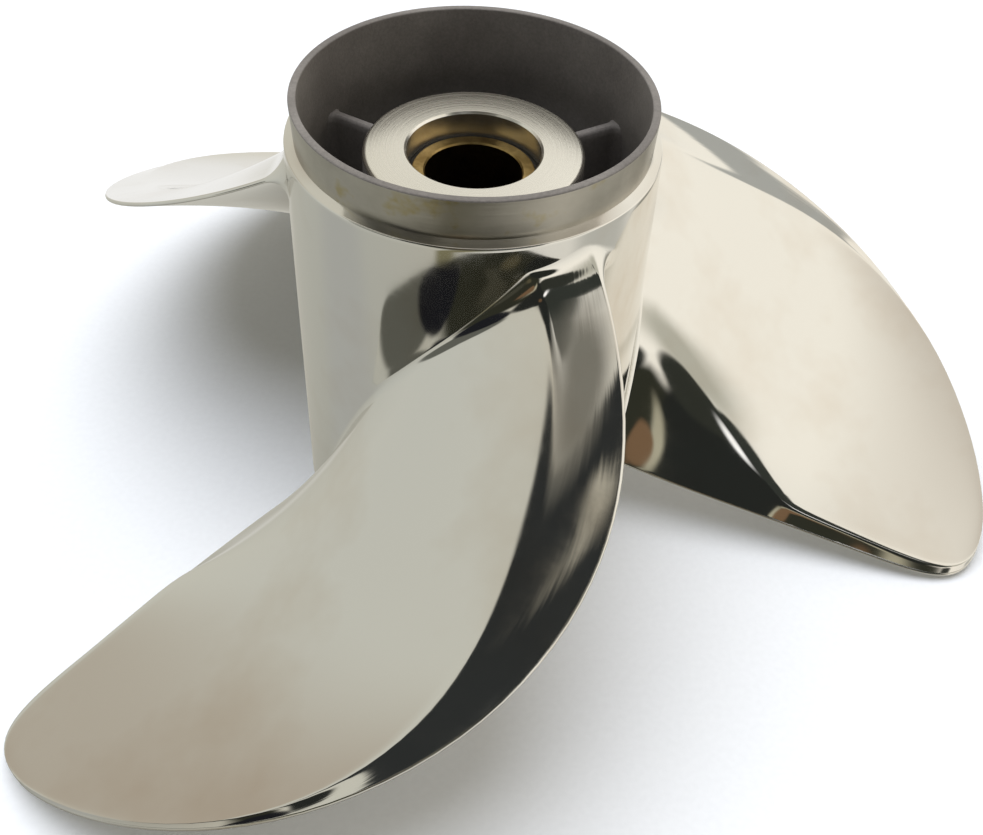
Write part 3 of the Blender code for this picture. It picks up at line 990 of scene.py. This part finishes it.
        select_edges(obj, is_rear_ring)
        worn = barrel.rim_round
        profile = rounded_corner(BARREL_END_RADIUS - worn, BARREL_LENGTH - worn, worn, worn, 0.0)[1:]
        profile.append((BARREL_END_RADIUS - barrel.end_wall + worn, BARREL_LENGTH))
        extrude_rings(obj, profile)

    def paint(self, obj, finish, barrel):
        """Polished outside, machined spigot and rear rim, as-cast bore and forward rim."""
        for material in (polished_steel(finish), machined_steel(finish), as_cast_steel(finish)):
            obj.data.materials.append(material)
        shoulder_depth = barrel.spigot_length + barrel.shoulder_drop
        for face in obj.data.polygons:
            radius = math.hypot(face.center.x, face.center.y)
            depth = RIM_Z - face.center.z
            facing_in = face.normal.x * face.center.x + face.normal.y * face.center.y < -0.5 * radius
            on_rim = depth < barrel.rim_round
            if on_rim or facing_in and radius < barrel.shoulder_radius - 0.5 * barrel.end_wall:
                face.material_index = 2
            elif depth < barrel.spigot_length or depth > BARREL_LENGTH - 0.001 * MM:
                face.material_index = 1
            elif depth < shoulder_depth:
                face.material_index = 0


class PROPELLER_OT_hub(Operator):
    """Models the hub tube with its turned front face"""

    bl_idname = "propeller.hub"
    bl_label = "Hub Tube"

    def execute(self, context):
        core = context.scene.propeller_core
        finish = context.scene.propeller_finish
        worn = core.hub_round
        profile = [
            (core.hub_bore, HUB_END_DEPTH),
            (core.hub_bore, SLEEVE_FACE_DEPTH + core.flange_length),
            (core.hub_bore, HUB_FACE_DEPTH + core.hub_chamfer),
            (core.hub_bore + core.hub_chamfer, HUB_FACE_DEPTH),
        ]
        profile += rounded_corner(HUB_RADIUS - worn, HUB_FACE_DEPTH + worn, worn, -worn, 0.0, 6)[::-1]
        profile += [(HUB_RADIUS, HUB_FACE_DEPTH + 3.0 * worn), (HUB_RADIUS, HUB_END_DEPTH)]
        hub = turned_ring("hub_tube", profile, 160)
        for material in (turned_steel(finish), as_cast_steel(finish)):
            hub.data.materials.append(material)
        for face in hub.data.polygons:
            radius = math.hypot(face.center.x, face.center.y)
            depth = RIM_Z - face.center.z
            behind_face = radius > HUB_RADIUS - 0.2 * MM and depth > HUB_FACE_DEPTH + worn
            in_bore = depth > SLEEVE_FACE_DEPTH + core.flange_length
            face.material_index = 1 if behind_face or in_bore else 0
        hand_over(hub, "turned_steel", "inner_hub")
        return {"FINISHED"}


class PROPELLER_OT_ribs(Operator):
    """Models one exhaust rib, thin in the middle and flared at both ends, and copies it round"""

    bl_idname = "propeller.ribs"
    bl_label = "Exhaust Ribs"

    def execute(self, context):
        core = context.scene.propeller_core
        barrel = context.scene.propeller_barrel
        rib = self.model_rib(core, barrel)
        rib.data.materials.append(as_cast_steel(context.scene.propeller_finish))
        for number, piece in enumerate(turned_copies(rib, 3), 1):
            piece.name = "rib_web_%d" % number
            piece.data.name = piece.name
            hand_over(piece, "cast_steel", "exhaust_rib_%d" % number)
        return {"FINISHED"}

    def model_rib(self, core, barrel):
        """A block along +X, sliced across, then shaped slice by slice and turned to its place."""
        start_clean()
        bpy.ops.mesh.primitive_cube_add(size=1.0)
        rib = bpy.context.object
        rib.name = "rib_web_1"
        bpy.ops.object.mode_set(mode="EDIT")
        bpy.ops.mesh.select_all(action="SELECT")
        bpy.ops.mesh.subdivide(number_cuts=15)
        bpy.ops.object.mode_set(mode="OBJECT")
        for vertex in rib.data.vertices:
            share = vertex.co.x + 0.5
            drop = 0.5 - vertex.co.z
            depth = RIB_TOP_DEPTH + (RIB_END_DEPTH - RIB_TOP_DEPTH) * drop ** 1.6
            wall = barrel_radius(barrel, max(depth, barrel.bore_step_end)) - barrel.wall
            inner = HUB_RADIUS - core.rib_overlap
            outer = wall + core.rib_overlap
            half = core.rib_thickness * (0.5 + self.flare(share, core))
            # The top edge is rounded over, a quarter of the thickness deep
            crown = min(1.0, (depth - RIB_TOP_DEPTH) / (0.6 * core.rib_thickness))
            rounding = 0.55 + 0.45 * math.sqrt(1.0 - (1.0 - crown) ** 2)
            across = math.sin(math.pi * vertex.co.y) * half * rounding
            vertex.co = (inner + (outer - inner) * share, across, height(depth))
        rib.rotation_euler.z = core.rib_turn
        bpy.ops.object.select_all(action="DESELECT")
        rib.select_set(True)
        bpy.ops.object.transform_apply()
        finish_mesh(rib, 60.0)
        return rib

    def flare(self, share, core):
        """How much thicker than its middle the rib is, as a share, towards the hub and the barrel."""
        at_hub = max(0.0, 1.0 - share / 0.12) ** 2 * core.rib_hub_flare
        at_barrel = max(0.0, (share - 0.8) / 0.2) ** 2 * core.rib_barrel_flare
        return at_hub + at_barrel


class PROPELLER_OT_sleeve(Operator):
    """Models the brass sleeve with its splines and the rubber moulded round it"""

    bl_idname = "propeller.sleeve"
    bl_label = "Brass Sleeve and Rubber"

    def execute(self, context):
        core = context.scene.propeller_core
        finish = context.scene.propeller_finish
        worn = core.sleeve_edge
        face = SLEEVE_FACE_DEPTH
        behind = face + core.flange_length
        profile = [
            (core.spline_root, SLEEVE_END_DEPTH),
            (core.spline_root, face + core.mouth_length + 1.0 * MM),
            (core.mouth_radius, face + core.mouth_length),
            (core.mouth_radius, face + worn),
            (core.mouth_radius + worn, face),
        ]
        profile += rounded_corner(core.flange_radius - worn, face + worn, worn, -worn, 0.0)[::-1]
        profile += [
            (core.flange_radius, behind - worn),
            (core.flange_radius - worn, behind),
            (core.sleeve_radius, behind),
            (core.sleeve_radius, SLEEVE_END_DEPTH),
        ]
        sleeve = turned_ring("brass_sleeve", profile, 12 * core.spline_teeth)
        self.cut_splines(sleeve, core)
        # The second brass is darkened to paint the shade deep in the sleeve's bore
        for material in (
            machined_brass("machined_brass", finish.brass, "#8f7748", 0.3),
            machined_brass("brass_with_painted_bore_shade", finish.painted_bore_shade, "#3a2f1e", 0.5),
        ):
            sleeve.data.materials.append(material)
        # Faces inside the bore, behind the mouth's edge, take the brass darkened as painted shade
        for polygon in sleeve.data.polygons:
            radius = math.hypot(polygon.center.x, polygon.center.y)
            inside = radius < core.mouth_radius + 0.5 * worn
            polygon.material_index = 1 if inside and RIM_Z - polygon.center.z > face + 2.0 * worn else 0
        hand_over(sleeve, "brass", "splined_sleeve")
        self.mould_rubber(core, finish)
        return {"FINISHED"}

    def cut_splines(self, sleeve, core):
        """Raises the teeth: of each twelve corners round the bore, five stand and two are flanks."""
        for vertex in sleeve.data.vertices:
            radius = math.hypot(vertex.co.x, vertex.co.y)
            if radius < core.spline_root + 0.01 * MM:
                angle = math.atan2(vertex.co.y, vertex.co.x)
                corner = round(angle * 12 * core.spline_teeth / math.tau) % 12
                if corner < 5:
                    rise = 1.0
                elif corner in (5, 11):
                    rise = 0.5
                else:
                    rise = 0.0
                scale = (core.spline_root + (core.spline_tip - core.spline_root) * rise) / radius
                vertex.co.x *= scale
                vertex.co.y *= scale
        finish_mesh(sleeve)

    def mould_rubber(self, core, finish):
        bulge = 0.5 * (core.hub_bore - core.sleeve_radius)
        middle = core.sleeve_radius + bulge
        lip = 0.4 * bulge
        front = rounded_corner(middle, BUSHING_FACE_DEPTH + lip, bulge, -lip, 0.0, 5)
        inward = rounded_corner(middle, BUSHING_FACE_DEPTH + lip, -bulge, -lip, 0.0, 5)[::-1]
        profile = [(core.hub_bore, BUSHING_END_DEPTH)] + front + inward[1:]
        profile.append((core.sleeve_radius, BUSHING_END_DEPTH))
        ring = turned_ring("rubber_ring", profile, 120)
        ring.data.materials.append(moulded_rubber(finish))
        hand_over(ring, "rubber", "rubber_bushing")


class PROPELLER_OT_stage(Operator):
    """Sets the pale floor, the soft light and the camera"""

    bl_idname = "propeller.stage"
    bl_label = "Stage"

    def execute(self, context):
        self.add_floor()
        self.add_light()
        self.add_world()
        self.add_camera()
        bpy.context.scene.view_settings.view_transform = "Standard"
        return {"FINISHED"}

    def add_floor(self):
        """White paper; the steel mirrors the studio's own lower half instead of it."""
        start_clean()
        bpy.ops.mesh.primitive_plane_add(size=6.0, location=(0.0, 0.0, height(BARREL_LENGTH)))
        floor = bpy.context.object
        floor.name = "floor"
        material, shader = new_material("pale_floor")
        spot = add_node(material, "ShaderNodeTexCoord").outputs["Object"]
        # Paper fibre, 2 mm
        fibre = add_node(material, "ShaderNodeTexNoise", {"Vector": spot, "Scale": 1.0 / 0.002, "Detail": 2.0})
        tint = add_node(
            material,
            "ShaderNodeValToRGB",
            {"Fac": fibre.outputs["Fac"]},
            stops=((0.3, "#f2f4f7"), (0.7, "#f5f7fa")),
        )
        material.node_tree.links.new(tint.outputs["Color"], shader.inputs["Base Color"])
        shader.inputs["Roughness"].default_value = 0.9
        floor.data.materials.append(material)
        floor.visible_glossy = False

    def add_light(self):
        """A large soft box overhead, kept out of the mirror."""
        start_clean()
        bpy.ops.object.light_add(type="AREA", location=(-0.3, 0.2, 1.6))
        light = bpy.context.object
        light.name = "soft_box"
        light.data.shape = "DISK"
        light.data.size = 1.8
        light.data.energy = 30.0
        light.data.color = linear_colour("#f2f6ff")
        light.visible_glossy = False

    def add_world(self):
        world = bpy.data.worlds.new("studio")
        bpy.context.scene.world = world
        world.use_nodes = True
        direction = add_node(world, "ShaderNodeTexCoord").outputs["Generated"]
        parts = add_node(world, "ShaderNodeSeparateXYZ", {"Vector": direction})
        dome = self.dome_place(world, direction, parts)
        colour = self.wall_colour(world, parts)
        for centre, reach, turn, softness, mirrored in STUDIO_OVALS:
            shifted = add_node(
                world, "ShaderNodeVectorMath", {0: dome, 1: (*centre, 0.0)}, operation="SUBTRACT"
            )
            turned = add_node(
                world,
                "ShaderNodeVectorRotate",
                {"Vector": shifted.outputs["Vector"], "Angle": math.radians(-turn)},
                rotation_type="Z_AXIS",
            )
            scaled = add_node(
                world,
                "ShaderNodeVectorMath",
                {0: turned.outputs["Vector"], 1: (*reach, 1.0)},
                operation="DIVIDE",
            )
            distance = add_node(
                world, "ShaderNodeVectorMath", {0: scaled.outputs["Vector"]}, operation="LENGTH"
            )
            mask = add_node(
                world,
                "ShaderNodeMapRange",
                {"Value": distance.outputs["Value"], "From Min": 1.0 + softness, "From Max": 1.0 - softness},
                interpolation_type="SMOOTHSTEP",
            )
            mix = add_node(
                world,
                "ShaderNodeMix",
                {"Factor": mask.outputs["Result"], "A": colour, "B": (*linear_colour(mirrored), 1.0)},
                data_type="RGBA",
            )
            colour = mix.outputs["Result"]
        background = world.node_tree.nodes["Background"]
        world.node_tree.links.new(colour, background.inputs["Color"])
        background.inputs["Strength"].default_value = 1.28

    def dome_place(self, world, direction, parts):
        """A direction's place on the dome, with a slight wander that keeps the edges from being drawn."""
        from_top = add_node(world, "ShaderNodeMath", {0: parts.outputs["Z"]}, operation="ARCCOSINE")
        degrees = add_node(world, "ShaderNodeMath", {0: from_top.outputs[0]}, operation="DEGREES")
        level = add_node(
            world, "ShaderNodeVectorMath", {0: direction, 1: (1.0, 1.0, 0.0)}, operation="MULTIPLY"
        )
        ahead = add_node(world, "ShaderNodeVectorMath", {0: level.outputs["Vector"]}, operation="NORMALIZE")
        laid = add_node(
            world,
            "ShaderNodeVectorMath",
            {0: ahead.outputs["Vector"], "Scale": degrees.outputs[0]},
            operation="SCALE",
        )
        wander = add_node(world, "ShaderNodeTexNoise", {"Vector": direction, "Scale": 2.4, "Detail": 2.0})
        centred = add_node(
            world, "ShaderNodeVectorMath", {0: wander.outputs["Color"], 1: (0.5, 0.5, 0.5)}, operation="SUBTRACT"
        )
        spread = add_node(
            world, "ShaderNodeVectorMath", {0: centred.outputs["Vector"], "Scale": 1.6}, operation="SCALE"
        )
        moved = add_node(
            world, "ShaderNodeVectorMath", {0: laid.outputs["Vector"], 1: spread.outputs["Vector"]}, operation="ADD"
        )
        return moved.outputs["Vector"]

    def wall_colour(self, world, parts):
        across = add_node(world, "ShaderNodeMapRange", {"Value": parts.outputs["X"], "From Min": -1.0})
        upward = add_node(world, "ShaderNodeMapRange", {"Value": parts.outputs["Z"], "From Min": -1.0})
        wall = add_node(world, "ShaderNodeValToRGB", {"Fac": across.outputs["Result"]}, stops=WALLS_ACROSS)
        left_over = add_node(world, "ShaderNodeValToRGB", {"Fac": upward.outputs["Result"]}, stops=WALLS_UP)
        mix = add_node(
            world,
            "ShaderNodeMix",
            {"Factor": 1.0, "A": wall.outputs["Color"], "B": left_over.outputs["Color"]},
            data_type="RGBA",
            blend_type="MULTIPLY",
        )
        return mix.outputs["Result"]

    def add_camera(self):
        """The photograph's view, worked out from the barrel's circles and the blades' edges."""
        focal_pixels = 1183.4
        frame_width = 983.0
        frame_height = 835.0
        centre_x = 513.2
        centre_y = 420.1
        yaw = math.radians(3.24)
        pitch = math.radians(45.42)
        roll = math.radians(3.99)
        forward = Vector((
            math.sin(yaw) * math.cos(pitch), math.cos(yaw) * math.cos(pitch), -math.sin(pitch)
        ))
        right = Vector((math.cos(yaw), -math.sin(yaw), 0.0))
        up = right.cross(forward)
        x_axis = math.cos(roll) * right + math.sin(roll) * up
        y_axis = -math.sin(roll) * right + math.cos(roll) * up
        eye = Vector((0.0, -295.1 * MM, RIM_Z + 170.8 * MM))
        data = bpy.data.cameras.new("photo_camera")
        camera = bpy.data.objects.new("photo_camera", data)
        bpy.context.scene.collection.objects.link(camera)
        camera.matrix_world = Matrix.Translation(eye) @ Matrix((x_axis, y_axis, -forward)).transposed().to_4x4()
        data.sensor_width = 36.0
        data.lens = 36.0 * focal_pixels / frame_width
        data.shift_x = (0.5 * frame_width - centre_x) / frame_width
        data.shift_y = (centre_y - 0.5 * frame_height) / frame_width
        data.clip_start = 0.01
        bpy.context.scene.camera = camera


class PROPELLER_PT_panel(Panel):
    bl_idname = "PROPELLER_PT_panel"
    bl_label = "Propeller"
    bl_space_type = "VIEW_3D"
    bl_region_type = "UI"
    bl_category = "Propeller"

    def draw(self, context):
        for operator in OPERATORS:
            self.layout.operator(operator.bl_idname)
        for group in (
            context.scene.propeller_barrel,
            context.scene.propeller_blade,
            context.scene.propeller_core,
            context.scene.propeller_finish,
        ):
            box = self.layout.box()
            for name in group.bl_rna.properties.keys():
                if name not in ("rna_type", "name"):
                    box.prop(group, name)


GROUPS = {
    "propeller_barrel": PropellerBarrel,
    "propeller_blade": PropellerBlade,
    "propeller_core": PropellerCore,
    "propeller_finish": PropellerFinish,
}
OPERATORS = (
    PROPELLER_OT_casting,
    PROPELLER_OT_hub,
    PROPELLER_OT_ribs,
    PROPELLER_OT_sleeve,
    PROPELLER_OT_stage,
)


def register():
    for group in GROUPS.values():
        bpy.utils.register_class(group)
    for operator in OPERATORS:
        bpy.utils.register_class(operator)
    bpy.utils.register_class(PROPELLER_PT_panel)
    for name, group in GROUPS.items():
        setattr(bpy.types.Scene, name, PointerProperty(type=group))


def unregister():
    for name in GROUPS:
        delattr(bpy.types.Scene, name)
    bpy.utils.unregister_class(PROPELLER_PT_panel)
    for operator in reversed(OPERATORS):
        bpy.utils.unregister_class(operator)
    for group in reversed(list(GROUPS.values())):
        bpy.utils.unregister_class(group)


def main():
    register()
    bpy.ops.propeller.casting()
    bpy.ops.propeller.hub()
    bpy.ops.propeller.ribs()
    bpy.ops.propeller.sleeve()
    bpy.ops.propeller.stage()


if __name__ == "__main__":
    main()
